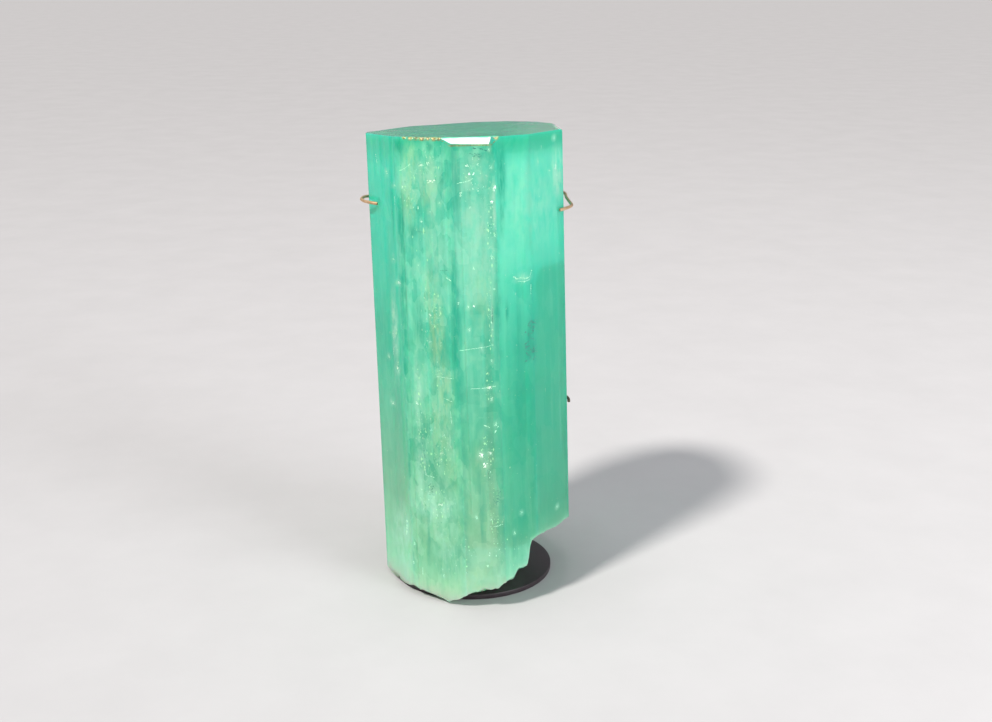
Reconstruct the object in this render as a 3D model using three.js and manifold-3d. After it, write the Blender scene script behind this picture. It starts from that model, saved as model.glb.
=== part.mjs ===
// Emerald crystal on a small display stand. Millimetres, +Z up, +X to the right, +Y to the back.
// The origin is the centre of the round base plate's underside.
import * as THREE from 'three';
import { mergeVertices } from 'three/addons/utils/BufferGeometryUtils.js';
import { ConvexGeometry } from 'three/addons/geometries/ConvexGeometry.js';
import Module from 'manifold-3d';

const wasm = await Module();
wasm.setup();

// ---------------------------------------------------------------- driving dimensions
const PLATE_RADIUS = 18.0;
const PLATE_THICKNESS = 1.2;
const SEAT_GAP = 0.3;                       // between pieces that touch

const CRYSTAL_HEIGHT = 98;
const CRYSTAL_FOOT = new THREE.Vector3(3.1, -0.8, PLATE_THICKNESS);
const LEAN_LEFT = THREE.MathUtils.degToRad(1.65);
const LEAN_BACK = THREE.MathUtils.degToRad(3.2);
const FIRST_FACE_TURN = THREE.MathUtils.degToRad(-1.8);
// Distance of each of the twelve prism faces from the axis, from the front face round to the right.
const FACE_DISTANCES = [22.0, 21.8, 19.7, 19.2, 20.9, 22.6, 22.1, 19.3, 19.4, 22.3, 20.7, 20.6];

const WIRE_RADIUS = 0.3;
const POST_RADIUS = 1.0;
const UPPER_CLAW_Z = 84.4;
const LOWER_CLAW_Z = 37.8;

// ---------------------------------------------------------------- solids and cuts
function toSolid(geometry) {
  const bare = geometry.clone();
  bare.deleteAttribute('normal');
  bare.deleteAttribute('uv');
  const merged = mergeVertices(bare, 1e-4);
  return new wasm.Manifold(new wasm.Mesh({
    numProp: 3,
    vertProperties: new Float32Array(merged.attributes.position.array),
    triVerts: new Uint32Array(merged.index.array),
  }));
}

function toGeometry(solid) {
  const mesh = solid.getMesh();
  const geometry = new THREE.BufferGeometry();
  geometry.setAttribute('position', new THREE.BufferAttribute(mesh.vertProperties, 3));
  geometry.setIndex(new THREE.BufferAttribute(mesh.triVerts, 1));
  const flat = geometry.toNonIndexed();
  flat.computeVertexNormals();
  return flat;
}

function shapeOf(points) {
  return new THREE.Shape(points.map(([x, y]) => new THREE.Vector2(x, y)));
}

function hull(points) {
  return new ConvexGeometry(points.map(([x, y, z]) => new THREE.Vector3(x, y, z)));
}

// A profile drawn in X and Z, run along Y from the front to the back, falling by `fall` for each
// millimetre behind `level`.
function runBack(profile, front, back, fall = 0, level = 0) {
  const geometry = new THREE.ExtrudeGeometry(shapeOf(profile), { depth: back - front, bevelEnabled: false });
  geometry.rotateX(Math.PI / 2);
  geometry.translate(0, back, 0);
  const shear = new THREE.Matrix4().set(1, 0, 0, 0, 0, 1, 0, 0, 0, -fall, 1, fall * level, 0, 0, 0, 1);
  return geometry.applyMatrix4(shear);
}

// ---------------------------------------------------------------- crystal
function faceNormal(index) {
  const turn = FIRST_FACE_TURN + index * Math.PI / 6;
  return new THREE.Vector2(Math.sin(turn), -Math.cos(turn));
}

// Corner between a face and the next one to its right.
function planCorner(index) {
  const count = FACE_DISTANCES.length;
  const a = faceNormal(index);
  const b = faceNormal(index + 1);
  const da = FACE_DISTANCES[(index + count) % count];
  const db = FACE_DISTANCES[(index + 1 + count) % count];
  const determinant = a.x * b.y - a.y * b.x;
  return new THREE.Vector2((da * b.y - db * a.y) / determinant, (a.x * db - b.x * da) / determinant);
}

// The crystal's own frame: its axis leans a little to the left and to the back.
const axis = new THREE.Vector3(-Math.tan(LEAN_LEFT), Math.tan(LEAN_BACK), 1).normalize();
const across = new THREE.Vector3(1, 0, 0).addScaledVector(axis, -axis.x).normalize();
const depthwise = new THREE.Vector3().crossVectors(axis, across);
const crystalFrame = new THREE.Matrix4().makeBasis(across, depthwise, axis).setPosition(CRYSTAL_FOOT);
const toCrystal = crystalFrame.clone().invert();

const ROOT_LENGTH = 3;                      // prism below the plate's top, before the foot is broken off
const corners = FACE_DISTANCES.map((_, index) => planCorner(index));
const prism = new THREE.ExtrudeGeometry(new THREE.Shape(corners), {
  depth: CRYSTAL_HEIGHT + ROOT_LENGTH,
  bevelEnabled: false,
});
prism.translate(0, 0, -ROOT_LENGTH);

// Growth ledges: shallow panels let into the prism faces. Each row is the face, where the panel
// starts and ends across it (0 to 1), its lower and upper ends, and its depth.
const GROWTH_PANELS = [
  [0, 0.00, 0.16, 20, 99, 0.18], [0, 0.62, 0.80, 6, 60, 0.12],
  [1, 0.00, 0.22, 0, 72, 0.15], [1, 0.55, 0.75, 34, 99, 0.12],
  [2, 0.30, 0.48, 12, 70, 0.15], [2, 0.80, 1.00, 30, 99, 0.18],
  [3, 0.10, 0.38, 8, 64, 0.25], [3, 0.62, 0.84, 40, 99, 0.22],
  [4, 0.20, 0.45, 10, 99, 0.25], [4, 0.45, 0.80, 52, 99, 0.40],
  [5, 0.30, 0.70, 0, 46, 0.30], [5, 0.00, 0.18, 20, 99, 0.25],
  [6, 0.15, 0.40, 58, 99, 0.30], [6, 0.60, 0.92, 0, 70, 0.35],
  [7, 0.08, 0.30, 0, 88, 0.30], [7, 0.52, 0.70, 24, 99, 0.35],
  [8, 0.20, 0.50, 0, 56, 0.30], [8, 0.70, 0.88, 30, 99, 0.25],
  [10, 0.55, 0.68, 10, 99, 0.15], [10, 0.90, 1.00, 0, 99, 0.20],
  [11, 0.00, 0.10, 0, 99, 0.22], [11, 0.48, 0.60, 30, 88, 0.12], [11, 0.88, 1.00, 26, 99, 0.15],
];

function growthPanel([face, from, to, low, high, depth]) {
  const outward = faceNormal(face).multiplyScalar(2);
  const inward = faceNormal(face).multiplyScalar(-depth);
  const start = planCorner(face - 1).lerp(planCorner(face), from).add(inward);
  const end = planCorner(face - 1).lerp(planCorner(face), to).add(inward);
  const outline = [start, end, end.clone().add(outward), start.clone().add(outward)];
  const panel = new THREE.ExtrudeGeometry(new THREE.Shape(outline), {
    depth: high - low,
    bevelEnabled: false,
  });
  return panel.translate(0, 0, low);
}

// Breaks at the foot, in the stand's frame. Profiles give X and Z.
const BELOW = -9;
const FAR = 30;
const LOWEST_Z = 0.45;
const rimBreak = runBack([
  [-FAR, BELOW], [-4.7, BELOW], [-4.7, 0.6], [-5.8, 1.0], [-9.4, 1.6], [-12.1, 1.7], [-14.1, 1.4],
  [-15.1, 0.8], [-16.4, 0.3], [-18.0, 0.5], [-19.2, 1.0], [-FAR, 1.6],
], -FAR, -0.7);
const backBreak = runBack([[-FAR, BELOW], [FAR, BELOW], [FAR, 1.5], [-FAR, 1.5]], -1, FAR);
const lowestBreak = runBack([[-FAR, BELOW], [FAR, BELOW], [FAR, LOWEST_Z], [-FAR, LOWEST_Z]], -FAR, FAR);
const frontBreak = runBack([
  [-4.7, BELOW], [14, BELOW], [14, 14.9], [13.2, 14.6], [12.8, 11.2], [12.2, 9.8], [11.2, 9.4], [10.2, 7.5],
  [9.0, 7.0], [8.1, 6.6], [7.0, 5.9], [6.2, 5.1], [2.4, 4.3], [-0.4, 3.4], [-2.4, 2.3], [-3.8, 1.3], [-4.7, 0.6],
], -FAR, 14, 0.49, -21.6);
const cornerBreakFront = runBack([
  [FAR, BELOW], [FAR, 16.2], [21.4, 15.4], [18.6, 14.9], [15.2, 15.5], [14.1, 15.6], [13.2, 14.7],
  [12.9, 11.2], [13.3, 8.6], [12.4, 5.4], [12.9, BELOW],
], -FAR, -4, 0.05, -18);
const cornerBreakBack = runBack([
  [FAR, BELOW], [FAR, 13.6], [17.0, 13.2], [14.6, 14.2], [12.2, 13.4], [11.6, 10.2], [12.2, 7.0],
  [10.8, 3.6], [11.2, BELOW],
], -4.2, FAR, 0.05, 0);
const seat = new THREE.CylinderGeometry(PLATE_RADIUS + 0.35, PLATE_RADIUS + 0.35, 8, 96);
seat.rotateX(Math.PI / 2);
seat.translate(0, 0, PLATE_THICKNESS + SEAT_GAP - 4);
const footBreaks = [lowestBreak, rimBreak, backBreak, frontBreak, cornerBreakFront, cornerBreakBack, seat];

// Small flakes off the lower edges, in the stand's frame: centre, size along X, Y and Z.
const FOOT_FLAKES = [
  [[-14.0, -14.6, 1.2], [3.0, 2.4, 1.6]], [[-17.4, -7.0, 0.2], [2.4, 3.0, 1.4]],
  [[-19.4, 4.2, 1.0], [2.2, 4.4, 3.0]], [[-12.6, 13.8, 1.2], [5.0, 3.0, 3.6]],
  [[-4.6, 18.4, 1.0], [5.6, 3.2, 2.6]], [[4.4, 21.6, 1.2], [4.4, 1.8, 4.2]],
  [[12.2, -2.0, 8.4], [2.0, 5.0, 3.0]], [[11.6, 8.0, 4.6], [2.2, 4.0, 2.6]],
  [[13.6, 17.6, 14.4], [4.8, 3.2, 2.2]], [[22.0, 1.0, 14.8], [2.2, 5.4, 2.0]],
];

function footFlake([centre, size]) {
  const flake = new THREE.IcosahedronGeometry(1, 0);
  flake.rotateZ(centre[0] * 0.4);
  flake.rotateX(centre[1] * 0.3);
  flake.scale(size[0] / 2, size[1] / 2, size[2] / 2);
  return flake.translate(centre[0], centre[1], centre[2]);
}

// Chips at the flat end, in the crystal's frame.
const TOP = CRYSTAL_HEIGHT;
const bigChip = hull([
  [-5.5, -20.9, TOP], [-4.1, -21.8, TOP - 1.1], [3.7, -22.1, TOP - 1.5], [5.1, -22.1, TOP],
  [4.2, -20.5, TOP + 0.1], [-4.4, -20.2, TOP + 0.1],
  [-5.9, -24, TOP + 2], [5.5, -24, TOP + 2], [4.0, -24, TOP - 1.5], [-4.4, -24, TOP - 1.1],
]);
const cornerBevel = hull([
  [16.6, 13.4, TOP], [18.8, 8.0, TOP], [18.9, -1.0, TOP + 0.05], [19.0, -5.0, TOP],
  [19.7, 8.1, TOP - 2.4], [16.8, 14.4, TOP - 1.2], [19.3, -4.6, TOP - 0.7],
  [22, -6, TOP + 2], [22, 16, TOP + 2],
]);

// Small bites along the top edge of the front-left face: a run to the left of the big chip and two
// to its right.
const EDGE_BITES = [
  [-13.4, 0.34], [-12.1, 0.42], [-10.9, 0.36], [-9.7, 0.5], [-8.4, 0.38], [-7.2, 0.46], [-6.2, 0.4],
  [5.7, 0.45], [7.0, 0.4],
];

function edgeBite([x, size]) {
  const face = x < 0 ? 11 : 1;
  const start = planCorner(face - 1);
  const end = planCorner(face);
  const place = start.clone().lerp(end, (x - start.x) / (end.x - start.x));
  const bite = new THREE.IcosahedronGeometry(size, 0);
  bite.rotateZ(x);
  bite.scale(1.35, 1.2, 1);
  return bite.translate(place.x, place.y, TOP);
}

function crystalSolid() {
  let solid = toSolid(prism);
  for (const row of GROWTH_PANELS) {
    solid = solid.subtract(toSolid(growthPanel(row)));
  }
  for (const cutter of [...footBreaks, ...FOOT_FLAKES.map(footFlake)]) {
    solid = solid.subtract(toSolid(cutter.clone().applyMatrix4(toCrystal)));
  }
  for (const cutter of [bigChip, cornerBevel, ...EDGE_BITES.map(edgeBite)]) {
    solid = solid.subtract(toSolid(cutter));
  }
  return solid;
}

// ---------------------------------------------------------------- stand
// The plate is a thin disc with a short tongue behind the crystal's foot, which carries the post.
const TONGUE_HALF_WIDTH = 3.2;
const TONGUE_X = 5.2;
const TONGUE_END_Y = 26.4;
const PLATE_EDGE = 0.2;

function plateGeometry() {
  const outline = new THREE.Shape();
  const inner = PLATE_RADIUS - PLATE_EDGE;
  const right = TONGUE_X + TONGUE_HALF_WIDTH - PLATE_EDGE;
  const left = TONGUE_X - TONGUE_HALF_WIDTH + PLATE_EDGE;
  const rightAngle = Math.acos(right / inner);
  const leftAngle = Math.acos(left / inner);
  outline.moveTo(right, TONGUE_END_Y - PLATE_EDGE);
  outline.lineTo(left, TONGUE_END_Y - PLATE_EDGE);
  outline.absarc(0, 0, inner, leftAngle, rightAngle + 2 * Math.PI, false);
  const plate = new THREE.ExtrudeGeometry(outline, {
    depth: PLATE_THICKNESS - 2 * PLATE_EDGE,
    bevelEnabled: true,
    bevelThickness: PLATE_EDGE,
    bevelSize: PLATE_EDGE,
    bevelSegments: 2,
    curveSegments: 60,
  });
  return plate.translate(0, 0, PLATE_EDGE);
}

// The post leans with the crystal, just behind its back face.
const POST_TOP_Z = 87;
const POST_FOOT = new THREE.Vector3(TONGUE_X, 23.6, PLATE_THICKNESS + SEAT_GAP + 0.05);

function postX(z) {
  return POST_FOOT.x - Math.tan(LEAN_LEFT) * (z - POST_FOOT.z);
}

function postY(z) {
  return POST_FOOT.y + Math.tan(LEAN_BACK) * (z - POST_FOOT.z);
}

function postMesh(material) {
  const length = (POST_TOP_Z - POST_FOOT.z) / axis.z;
  const profile = [[0, 0], [POST_RADIUS, 0], [POST_RADIUS, length - 0.3], [POST_RADIUS - 0.3, length], [0, length]];
  const post = new THREE.Mesh(new THREE.LatheGeometry(
    profile.map(([x, y]) => new THREE.Vector2(x, y)), 24), material);
  post.quaternion.setFromUnitVectors(new THREE.Vector3(0, 1, 0), axis);
  post.position.copy(POST_FOOT);
  return post;
}

// Claw wires, by the points that their centre lines pass: from the post, round the crystal's back
// and side, to the hooked tip on its front.
const UPPER_START_Y = postY(UPPER_CLAW_Z) - POST_RADIUS - SEAT_GAP - WIRE_RADIUS;
const LOWER_START_Y = postY(LOWER_CLAW_Z) - POST_RADIUS - SEAT_GAP - WIRE_RADIUS;
const HALF_JOINT_GAP = SEAT_GAP / 2;
const CLAWS = {
  upper_claw_left: [
    [postX(UPPER_CLAW_Z) - HALF_JOINT_GAP, UPPER_START_Y, UPPER_CLAW_Z], [1.2, UPPER_START_Y, UPPER_CLAW_Z],
    [-1.0, 25.9, UPPER_CLAW_Z], [-7.0, 22.7, UPPER_CLAW_Z], [-12.8, 19.5, UPPER_CLAW_Z],
    [-14.6, 18.0, UPPER_CLAW_Z], [-18.2, 12.2, UPPER_CLAW_Z], [-21.4, 7.0, UPPER_CLAW_Z],
    [-22.8, 4.2, 84.6], [-23.2, 1.4, 84.6], [-22.4, -0.6, 84.5], [-21.1, -2.0, 84.5], [-19.4, -3.1, 84.4],
  ],
  upper_claw_right: [
    [postX(UPPER_CLAW_Z) + HALF_JOINT_GAP, UPPER_START_Y, UPPER_CLAW_Z], [5.6, UPPER_START_Y, UPPER_CLAW_Z],
    [8.8, 26.3, UPPER_CLAW_Z], [12.0, 24.4, UPPER_CLAW_Z], [15.2, 22.2, UPPER_CLAW_Z],
    [18.4, 16.6, UPPER_CLAW_Z], [20.8, 12.0, 84.5], [21.0, 8.5, 84.4], [21.3, 4.0, 84.1],
    [21.6, 0.2, 83.9], [21.2, -1.8, 83.8], [20.1, -3.5, 83.6], [18.8, -4.9, 83.4],
  ],
  lower_claw_left: [
    [postX(LOWER_CLAW_Z) - HALF_JOINT_GAP, LOWER_START_Y, LOWER_CLAW_Z], [2.6, LOWER_START_Y, LOWER_CLAW_Z],
    [0.4, 23.3, LOWER_CLAW_Z], [-5.6, 20.1, LOWER_CLAW_Z], [-11.4, 16.9, LOWER_CLAW_Z],
    [-13.2, 15.4, LOWER_CLAW_Z], [-16.8, 9.6, LOWER_CLAW_Z], [-19.1, 4.9, LOWER_CLAW_Z],
  ],
  lower_claw_right: [
    [postX(LOWER_CLAW_Z) + HALF_JOINT_GAP, LOWER_START_Y, LOWER_CLAW_Z], [7.0, LOWER_START_Y, LOWER_CLAW_Z],
    [10.1, 23.7, LOWER_CLAW_Z], [13.4, 21.8, LOWER_CLAW_Z], [16.6, 19.6, LOWER_CLAW_Z],
    [19.8, 14.0, LOWER_CLAW_Z], [22.1, 9.6, 38.0], [22.5, 6.6, 38.0], [22.3, 4.4, 37.7], [21.8, 3.0, 37.3],
  ],
};

function clawMesh(points, material) {
  const path = new THREE.CatmullRomCurve3(points.map(([x, y, z]) => new THREE.Vector3(x, y, z)));
  const section = new THREE.Shape();
  section.absarc(0, 0, WIRE_RADIUS, 0, 2 * Math.PI, false);
  const geometry = new THREE.ExtrudeGeometry(section, {
    steps: points.length * 3,
    curveSegments: 5,
    extrudePath: path,
  });
  return new THREE.Mesh(geometry, material);
}

// ---------------------------------------------------------------- assembly
const emerald = new THREE.MeshStandardMaterial({
  color: 0x66cfae,
  roughness: 0.2,
  metalness: 0,
  transparent: true,
  opacity: 0.85,
});
const blackPaint = new THREE.MeshStandardMaterial({ color: 0x24242a, roughness: 0.5, metalness: 0.2 });
const brass = new THREE.MeshStandardMaterial({ color: 0xc09a60, roughness: 0.35, metalness: 1 });

const crystal = new THREE.Mesh(toGeometry(crystalSolid()), emerald);
crystal.name = 'crystal';
crystal.applyMatrix4(crystalFrame);

const plate = new THREE.Mesh(plateGeometry(), blackPaint);
plate.name = 'base_plate';

const post = postMesh(brass);
post.name = 'back_post';

const object = new THREE.Group();
object.add(crystal, plate, post);
for (const [name, points] of Object.entries(CLAWS)) {
  const claw = clawMesh(points, brass);
  claw.name = name;
  object.add(claw);
}

export default object;
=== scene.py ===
"""Emerald crystal on its display stand: the looks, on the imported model's frame.

Lengths are written in millimetres and turned into metres where Blender needs them.
The crystal's own frame has its axis along +Z, the flat end at 98 mm, and leans a little in the stand.
"""
import math
import random

import bpy
import numpy as np
from mathutils import Matrix, Vector, noise


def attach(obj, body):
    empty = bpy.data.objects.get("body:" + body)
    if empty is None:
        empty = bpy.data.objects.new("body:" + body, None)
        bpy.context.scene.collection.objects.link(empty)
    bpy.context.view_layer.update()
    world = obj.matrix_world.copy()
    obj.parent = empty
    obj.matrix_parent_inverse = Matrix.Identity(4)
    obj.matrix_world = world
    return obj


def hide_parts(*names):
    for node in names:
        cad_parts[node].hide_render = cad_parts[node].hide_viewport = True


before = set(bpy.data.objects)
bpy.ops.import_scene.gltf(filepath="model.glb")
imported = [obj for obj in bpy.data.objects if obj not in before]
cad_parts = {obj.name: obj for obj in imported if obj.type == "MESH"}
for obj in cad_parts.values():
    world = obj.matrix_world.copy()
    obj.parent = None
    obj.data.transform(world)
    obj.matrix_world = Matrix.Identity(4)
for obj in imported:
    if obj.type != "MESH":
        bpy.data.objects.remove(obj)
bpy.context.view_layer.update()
MM = 0.001

# ---- driving dimensions, as in the frame
PLATE_RADIUS = 18.0
PLATE_TOP = 1.2
END_Z = 98.0
CRYSTAL_FOOT = Vector((3.1, -0.8, PLATE_TOP))
LEAN_LEFT = math.radians(1.65)
LEAN_BACK = math.radians(3.2)
FIRST_FACE_TURN = math.radians(-1.8)
FACE_DISTANCES = [22.0, 21.8, 19.7, 19.2, 20.9, 22.6, 22.1, 19.3, 19.4, 22.3, 20.7, 20.6]


def crystal_matrix():
    """The crystal's own frame in the stand's frame, in millimetres."""
    axis = Vector((-math.tan(LEAN_LEFT), math.tan(LEAN_BACK), 1)).normalized()
    across = (Vector((1, 0, 0)) - axis * axis.x).normalized()
    depthwise = axis.cross(across)
    turn = Matrix((across, depthwise, axis)).transposed()
    return Matrix.Translation(CRYSTAL_FOOT) @ turn.to_4x4()


CRYSTAL = crystal_matrix()


# ---- small helpers
def srgb(red, green, blue):
    """A colour named by its 0 to 255 display values, as linear RGBA."""
    def linear(value):
        value /= 255
        return value / 12.92 if value <= 0.04045 else ((value + 0.055) / 1.055) ** 2.4
    return (linear(red), linear(green), linear(blue), 1.0)


def rise(low, high, value):
    """From 0 at the low value to 1 at the high one, with soft ends."""
    t = np.clip((value - low) / (high - low), 0.0, 1.0)
    return t * t * (3 - 2 * t)


def fractal(x, y, z, octaves=3):
    """Smooth noise of about -1 to 1 at each point of three arrays."""
    return np.array([noise.fractal(Vector(p), 0.6, 2.1, octaves) for p in zip(x, y, z)])


def to_stand(points):
    """Points of the crystal's own frame, in rows, in the stand's frame."""
    matrix = np.array(CRYSTAL)
    return points @ matrix[:3, :3].T + matrix[:3, 3]


def add_object(name, data):
    obj = bpy.data.objects.new(name, data)
    bpy.context.scene.collection.objects.link(obj)
    return obj


def new_object(name, vertices, faces, material, shade_angle=None):
    """A mesh object from millimetre vertices, shaded smooth up to shade_angle degrees."""
    mesh = bpy.data.meshes.new(name)
    mesh.from_pydata((np.asarray(vertices, float) * MM).tolist(), [], faces)
    mesh.validate()
    mesh.materials.append(material)
    if shade_angle is not None:
        mesh.polygons.foreach_set("use_smooth", [True] * len(mesh.polygons))
        mesh.set_sharp_from_angle(angle=math.radians(shade_angle))
    return add_object(name, mesh)


def paint(obj, name, values):
    """Stores a number for each vertex, for the material to read by name."""
    layer = obj.data.attributes.new(name, "FLOAT", "POINT")
    layer.data.foreach_set("value", np.asarray(values, np.float32))


def band(low, high, count):
    """Faces between two rings of points, from the number of each ring's first point."""
    return [(low + i, low + (i + 1) % count, high + (i + 1) % count, high + i) for i in range(count)]


def through_rings(rings):
    """Vertices and faces of a closed shape through rings of as many points each."""
    count = len(rings[0])
    starts = [number * count for number in range(len(rings))]
    faces = [face for low, high in zip(starts, starts[1:]) for face in band(low, high, count)]
    ends = [tuple(reversed(range(count))), tuple(range(starts[-1], starts[-1] + count))]
    return [point for ring in rings for point in ring], faces + ends


# ---- crystal: plan
def face_normal(index):
    """The outward direction of a face on the plan; face 0 is the front one."""
    turn = FIRST_FACE_TURN + index * math.pi / 6
    return np.array([math.sin(turn), -math.cos(turn)])


def find_corner(index):
    """Corner between a face and the next one to its right."""
    rows = np.array([face_normal(index), face_normal(index + 1)])
    return np.linalg.solve(rows, [FACE_DISTANCES[index], FACE_DISTANCES[(index + 1) % 12]])


FACE_NORMALS = np.array([face_normal(index) for index in range(12)])
CORNERS = np.array([find_corner(index) for index in range(12)])
FACE_WIDTHS = np.array([np.linalg.norm(CORNERS[index] - CORNERS[index - 1]) for index in range(12)])
# Spacing of the points round the plan; the two blotchy front faces have more of them.
COLUMN_SPACING = 0.34
FINE_SPACING = 0.22
FINE_FACES = (11, 0)
CORNER_BEVEL = 0.16


def plan_columns():
    """Points round the plan, the face that each lies on and its share of the way across it."""
    faces, fractions = [], []
    for index, width in enumerate(FACE_WIDTHS):
        spacing = FINE_SPACING if index in FINE_FACES else COLUMN_SPACING
        inset = CORNER_BEVEL / width
        places = np.linspace(inset, 1 - inset, max(4, round(width / spacing)))
        faces += [index] * len(places)
        fractions += list(places)
    starts, ends = CORNERS[np.array(faces) - 1], CORNERS[faces]
    fractions = np.array(fractions)
    return starts + (ends - starts) * fractions[:, None], np.array(faces), fractions


def nearest_face(x, y):
    """The number of the prism face that each place is nearest to."""
    outward = np.outer(x, FACE_NORMALS[:, 0]) + np.outer(y, FACE_NORMALS[:, 1])
    return np.argmin(np.array(FACE_DISTANCES) - outward, axis=1)


# ---- crystal: growth panels
# Face, start and end across it, lower and upper ends, depth.
GROWTH_PANELS = [
    (0, 0, 0.16, 20, 99, 0.18), (0, 0.62, 0.8, 6, 60, 0.12), (1, 0, 0.22, 0, 72, 0.15),
    (1, 0.55, 0.75, 34, 99, 0.12), (2, 0.8, 1, 30, 99, 0.06), (3, 0.1, 0.38, 8, 64, 0.25),
    (3, 0.62, 0.84, 40, 99, 0.22), (4, 0.2, 0.45, 10, 99, 0.25), (4, 0.45, 0.8, 52, 99, 0.4),
    (5, 0.3, 0.7, 0, 46, 0.3), (5, 0, 0.18, 20, 99, 0.25), (6, 0.15, 0.4, 58, 99, 0.3),
    (6, 0.6, 0.92, 0, 70, 0.35), (7, 0.08, 0.3, 0, 88, 0.3), (7, 0.52, 0.7, 24, 99, 0.35),
    (8, 0.2, 0.5, 0, 56, 0.3), (8, 0.7, 0.88, 30, 99, 0.25), (10, 0.55, 0.68, 10, 99, 0.06),
    (10, 0.9, 1, 0, 99, 0.2), (11, 0, 0.1, 0, 99, 0.22), (11, 0.48, 0.6, 30, 88, 0.12),
    (11, 0.88, 1, 26, 99, 0.15),
]
PANEL_EDGE = 0.35


def panel_depth(faces, fractions, heights):
    """How far the growth panels stand in from the flat faces."""
    widths = FACE_WIDTHS[faces]
    place = fractions * widths
    depth = np.zeros_like(heights)
    for face, start, end, low, high, deep in GROWTH_PANELS:
        left = rise(start * widths - PANEL_EDGE, start * widths, place) if start > 0 else 1.0
        right = 1 - rise(end * widths, end * widths + PANEL_EDGE, place) if end < 1 else 1.0
        level = rise(low - 0.6, low, heights) * (1 - rise(high, high + 0.6, heights))
        depth = np.maximum(depth, np.where(faces == face, left * right * level * deep, 0.0))
    return depth


# ---- crystal: broken foot and chipped end
# Profiles of X and Z in the stand's frame.
RIM_PROFILE = [
    (-30, 1.6), (-19.2, 1), (-18, 0.5), (-16.4, 0.5), (-15.7, 0.8), (-15.1, 0.8), (-14.5, 1), (-13.9, 1.3),
    (-13.2, 1.6), (-12.6, 2.2), (-12, 1.9), (-11.1, 1.6), (-10.5, 1.8), (-9.4, 1.6), (-5.8, 1.1),
    (-4.7, 0.7), (-3.8, 1.3), (-2.4, 1.9),
]
FRONT_PROFILE = [
    (-6, -1.5), (-4.7, 0.7), (-3.8, 1.3), (-2.4, 1.9), (-0.4, 3.2), (2.4, 4.1), (6.2, 4.8), (7, 5.7),
    (8.1, 6.4), (9.3, 7), (10.3, 9.3), (11.7, 9.8), (12.3, 10.3), (12.6, 12), (12.7, 14.2), (14, 14.9),
]
FRONT_FALL = 0.49
FRONT_LEVEL_Y = -21.6
RIM_RIGHT_X = -2.4
RIM_BACK_Y = -0.8
HIDDEN_RIM_Z = 1.5
FRONT_LEFT_X = -4.7
CORNER_SPLIT_Y = (-5.0, -3.4)
CORNER_FALL = 0.05
SHELF_Z = (12.5, 14.5)
CORNER_PROFILE_FRONT = [
    (12.3, -1), (12.6, 5.4), (12.7, 11.2), (12.9, 14.2), (14.1, 15.2), (15.2, 15.4), (18.6, 15),
    (21.4, 15.3), (30, 16.2),
]
CORNER_PROFILE_BACK = [
    (10.8, -1), (11.2, 3.6), (11.7, 10.2), (12.2, 13.4), (14.6, 14.2), (17, 13.2), (30, 13.6),
]
SEAT_RADIUS = PLATE_RADIUS + 0.35
SEAT_Z = PLATE_TOP + 0.08
LOWEST_Z = 0.3


def profile_height(profile, x):
    """The height of a profile at places across."""
    return np.interp(x, *zip(*profile))


def foot_height(x, y):
    """Height of the broken foot, with its grain, at a place in the stand's frame."""
    coarse = 0.34 * fractal(x * 0.45, y * 0.45, x * 0, 2)
    grain = coarse + 0.16 * fractal(x * 1.6, y * 1.6, x * 0 + 7)
    seen_rim = (y < RIM_BACK_Y) & (x < RIM_RIGHT_X)
    rim = np.where(seen_rim, profile_height(RIM_PROFILE, x), HIDDEN_RIM_Z)
    front = profile_height(FRONT_PROFILE, x) - FRONT_FALL * (y - FRONT_LEVEL_Y)
    front = np.where(x < FRONT_LEFT_X, 0.0, front)
    to_back = rise(*CORNER_SPLIT_Y, y + coarse * 1.5)
    corner_front = profile_height(CORNER_PROFILE_FRONT, x) - CORNER_FALL * (y + 18)
    corner_back = profile_height(CORNER_PROFILE_BACK, x + coarse) - CORNER_FALL * y
    corner = corner_front * (1 - to_back) + corner_back * to_back
    height = np.maximum(np.maximum(rim, front), corner)
    shelf = rise(*SHELF_Z, height)
    rough = height + grain * (rise(1.2, 3.5, height) * (1 - 0.6 * shelf) + 0.12)
    over_plate = np.hypot(x, y) < SEAT_RADIUS
    return np.maximum(rough, np.where(over_plate, SEAT_Z, LOWEST_Z))


def foot_local(x, y):
    """The foot's height in the crystal's frame, under plan points of the crystal."""
    z = np.zeros_like(x)
    for _ in range(3):
        stand_x, stand_y, stand_z = to_stand(np.column_stack([x, y, z])).T
        z = z + (foot_height(stand_x, stand_y) - stand_z) / CRYSTAL[2][2]
    return z


CHIP_START_Y = -20.4
CHIP_SLOPE = 0.82
CHIP_LEFT_X = -6.3
CHIP_RIGHT_START = (4.0, -22.2)
CHIP_RIGHT_RUN = 1.2
CHIP_SIDE_SLOPE = 8.0
WORN_CORNER_X = 17.2
WORN_EDGE_X = 18.95
# Bites along the top front edge: place across, radius.
EDGE_BITES = [
    (-13.4, 0.34), (-12.1, 0.42), (-10.9, 0.36), (-9.7, 0.5), (-8.4, 0.38), (-7.2, 0.46), (-6.2, 0.4),
    (5.2, 0.42),
]


def bite_centres():
    """The places of the bites on the front edge, with their radii."""
    for x, radius in EDGE_BITES:
        face = 11 if x < 0 else 1
        start, end = CORNERS[face - 1], CORNERS[face]
        yield start + (end - start) * (x - start[0]) / (end[0] - start[0]), radius


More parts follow.
